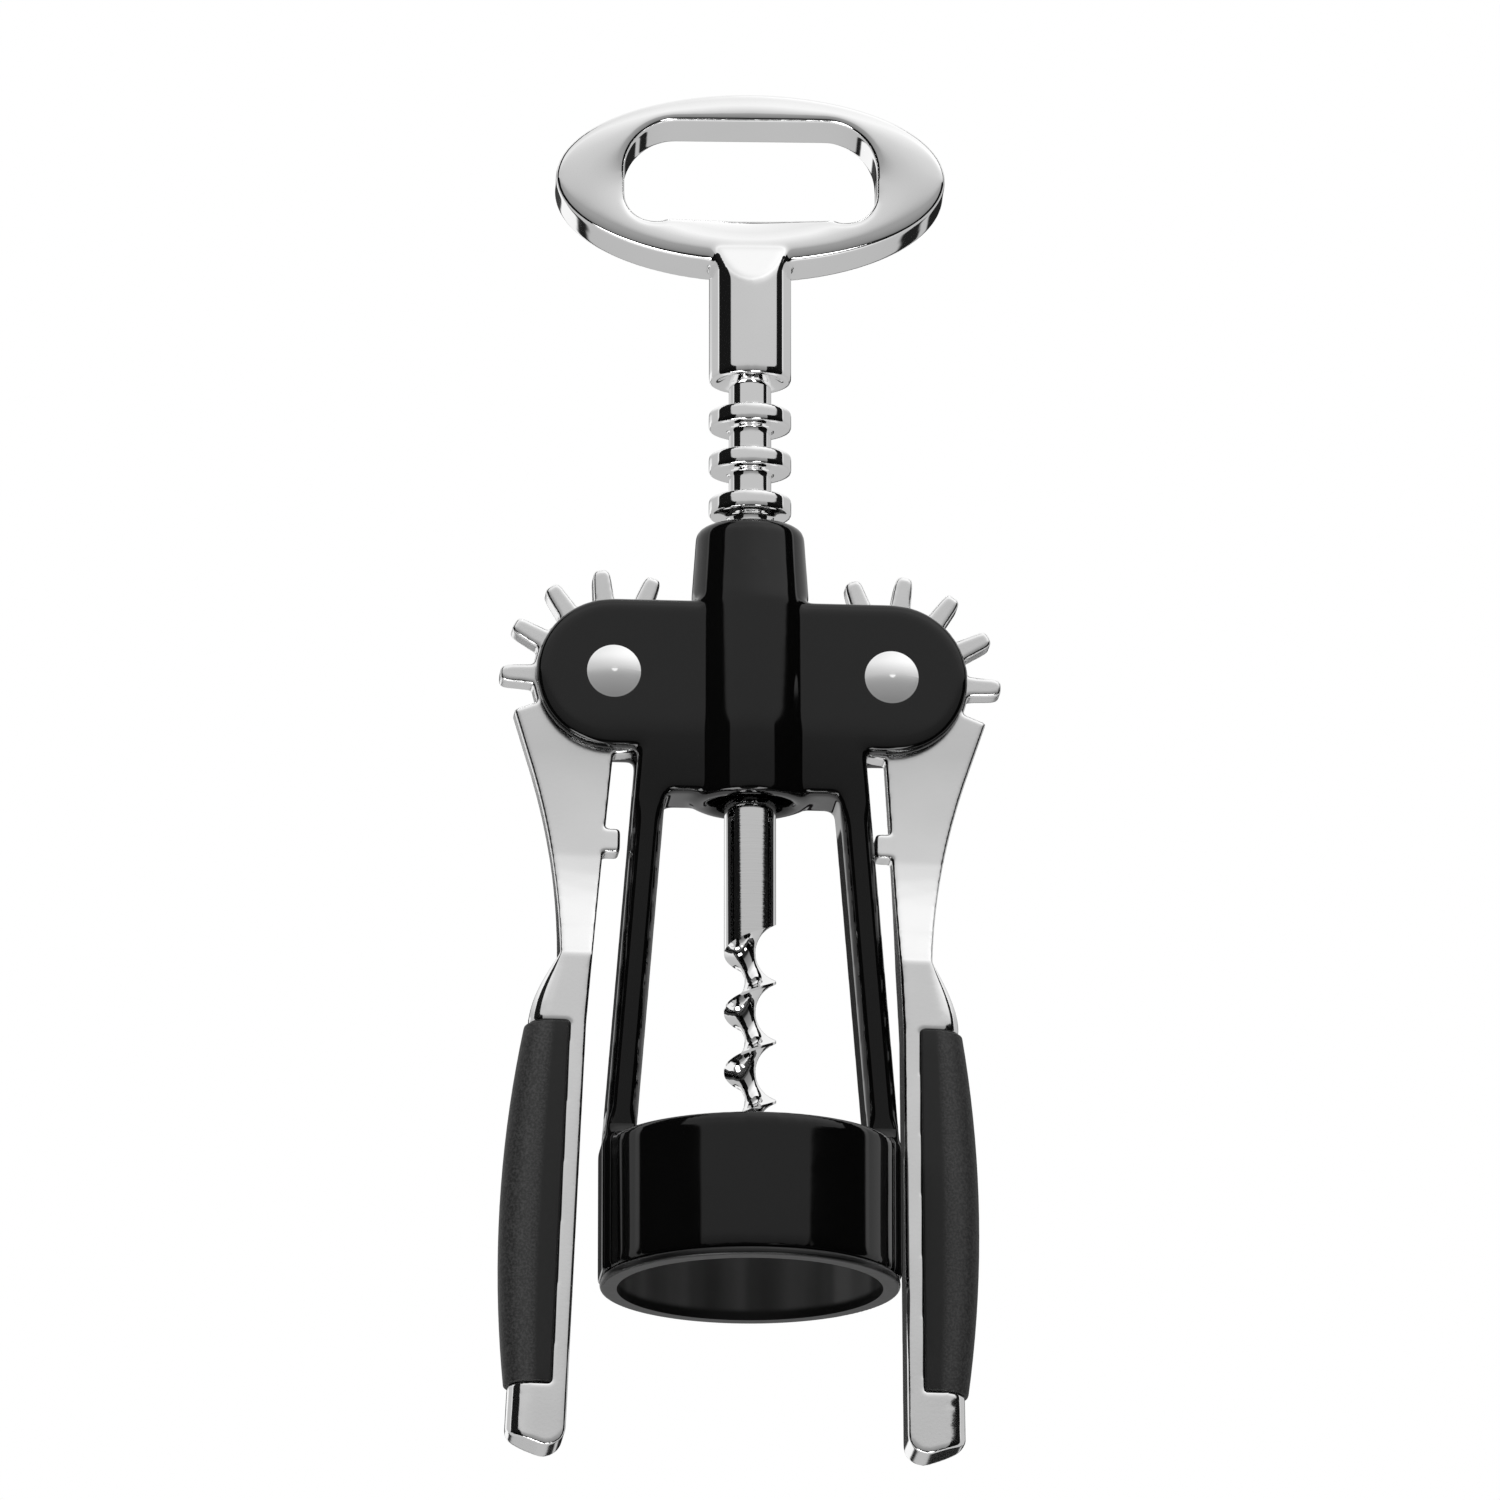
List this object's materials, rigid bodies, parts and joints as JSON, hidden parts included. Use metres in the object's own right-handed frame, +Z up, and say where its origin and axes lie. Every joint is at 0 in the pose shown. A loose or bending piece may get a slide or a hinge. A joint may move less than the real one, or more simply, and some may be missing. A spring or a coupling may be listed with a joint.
{
  "type": "wing corkscrew",
  "caption": "Wing corkscrew with a gloss black frame and bell, chromed levers with black grips, ringed rack, worm and bottle-opener handle.",
  "frame": {"origin": "centre of the bell's mouth, where the bottle's neck goes in", "axes": "+Z up along the worm to the handle, +X towards the right-hand lever, -Y the front face with the rivet heads' domes"},
  "size_m": [0.0606, 0.0358, 0.1702],
  "materials": {
    "gloss_black_frame": "gloss black coating on die-cast zinc",
    "black_plastic": "satin moulded plastic",
    "chrome": "bright chrome plating",
    "worm_steel": "plated steel screw with faint turning marks",
    "rivet_steel": "bright plated rivet",
    "grip_rubber": "matte black with a fine moulded grain"
  },
  "bodies": {
    "frame": {"frame_body": "gloss_black_frame", "bell_liner": "black_plastic", "left_rivet": "rivet_steel", "right_rivet": "rivet_steel"},
    "rack": {"ring_rack": "chrome"},
    "handle": {"opener_head": "chrome", "worm": "worm_steel"},
    "left_lever": {"left_lever": "chrome", "left_grip": "grip_rubber"},
    "right_lever": {"right_lever": "chrome", "right_grip": "grip_rubber"}
  },
  "joints": [
    {"name": "left_lever_pivot", "type": "hinge", "parent": "frame", "child": "left_lever", "pos_m": [-0.01677, 0, 0.0751], "axis": [0, 1, 0], "range_deg": [0, 140]},
    {"name": "right_lever_pivot", "type": "hinge", "parent": "frame", "child": "right_lever", "pos_m": [0.01677, 0, 0.0751], "axis": [0, -1, 0], "range_deg": [0, 140]},
    {"name": "rack_slide", "type": "slide", "parent": "frame", "child": "rack", "axis": [0, 0, -1], "range_m": [0, 0.0279]},
    {"name": "handle_spin", "type": "hinge", "parent": "rack", "child": "handle", "pos_m": [0, 0, 0.0751], "axis": [0, 0, 1], "continuous": true}
  ],
  "couplings": [
    {"joint": "right_lever_pivot", "follows": "left_lever_pivot", "ratio": 1},
    {"joint": "rack_slide", "follows": "left_lever_pivot", "m_per_rad": 0.01138}
  ]
}
